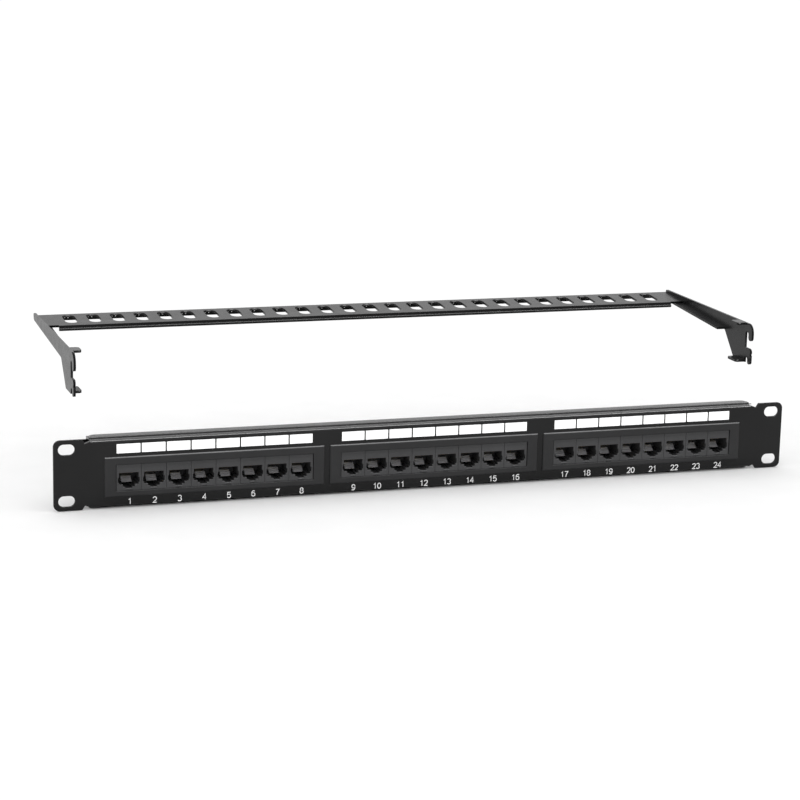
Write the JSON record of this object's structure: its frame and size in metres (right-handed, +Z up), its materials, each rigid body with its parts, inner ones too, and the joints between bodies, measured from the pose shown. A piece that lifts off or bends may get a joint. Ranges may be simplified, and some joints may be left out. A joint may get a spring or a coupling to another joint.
{
  "type": "patch panel",
  "caption": "Rack-mount patch panel with rows of modular sockets in raised bezels, punch-down blocks behind, and a lift-off rear cable bar with tie holes.",
  "frame": {"origin": "centre of the four rack slots, on the rear face of the panel's ears, which seats on the rack rails", "axes": "+X along the panel, +Y to the rear of the rack, +Z up; the sockets face -Y"},
  "size_m": [0.481, 0.1529, 0.0925],
  "materials": {
    "black_steel": "satin black powder coat",
    "black_moulding": "matte black moulding",
    "grey_moulding": "ribbed dark grey moulding",
    "gold_contact": "gold-plated wire",
    "board_laminate": "green solder mask",
    "block_moulding": "matte black moulding",
    "tin_blade": "tin-plated blade",
    "zinc_screw": "zinc-plated screw"
  },
  "bodies": {
    "panel": {"front_panel": "black_steel", "bezel_1": "black_moulding", "bezel_2": "black_moulding", "bezel_3": "black_moulding", "jack_housing_01": "black_moulding", "jack_housing_02": "black_moulding", "jack_housing_03": "black_moulding", "jack_housing_04": "black_moulding", "jack_housing_05": "black_moulding", "jack_housing_06": "black_moulding", "jack_housing_07": "black_moulding", "jack_housing_08": "black_moulding", "jack_housing_09": "black_moulding", "jack_housing_10": "black_moulding", "jack_housing_11": "black_moulding", "jack_housing_12": "black_moulding", "jack_housing_13": "black_moulding", "jack_housing_14": "black_moulding", "jack_housing_15": "black_moulding", "jack_housing_16": "black_moulding", "jack_housing_17": "black_moulding", "jack_housing_18": "black_moulding", "jack_housing_19": "black_moulding", "jack_housing_20": "black_moulding", "jack_housing_21": "black_moulding", "jack_housing_22": "black_moulding", "jack_housing_23": "black_moulding", "jack_housing_24": "black_moulding", "contact_carriers_1": "grey_moulding", "contact_carriers_2": "grey_moulding", "contact_carriers_3": "grey_moulding", "jack_contacts_1": "gold_contact", "jack_contacts_2": "gold_contact", "jack_contacts_3": "gold_contact", "module_frame_1": "black_moulding", "module_frame_2": "black_moulding", "module_frame_3": "black_moulding", "circuit_board_1": "board_laminate", "circuit_board_2": "board_laminate", "circuit_board_3": "board_laminate", "punchdown_blocks_1": "block_moulding", "punchdown_blocks_2": "block_moulding", "punchdown_blocks_3": "block_moulding", "punchdown_blades_1": "tin_blade", "punchdown_blades_2": "tin_blade", "punchdown_blades_3": "tin_blade", "module_screws": "zinc_screw", "hook_bracket_left": "black_steel", "hook_bracket_right": "black_steel", "bracket_rivets": "black_steel"},
    "cable_bar": {"cable_strip": "black_steel", "bar_arm_left": "black_steel", "bar_arm_right": "black_steel"}
  },
  "joints": [
    {"name": "cable_bar_lift", "type": "slide", "parent": "panel", "child": "cable_bar", "axis": [0, 0, 1], "range_m": [-0.0587, 0]}
  ]
}
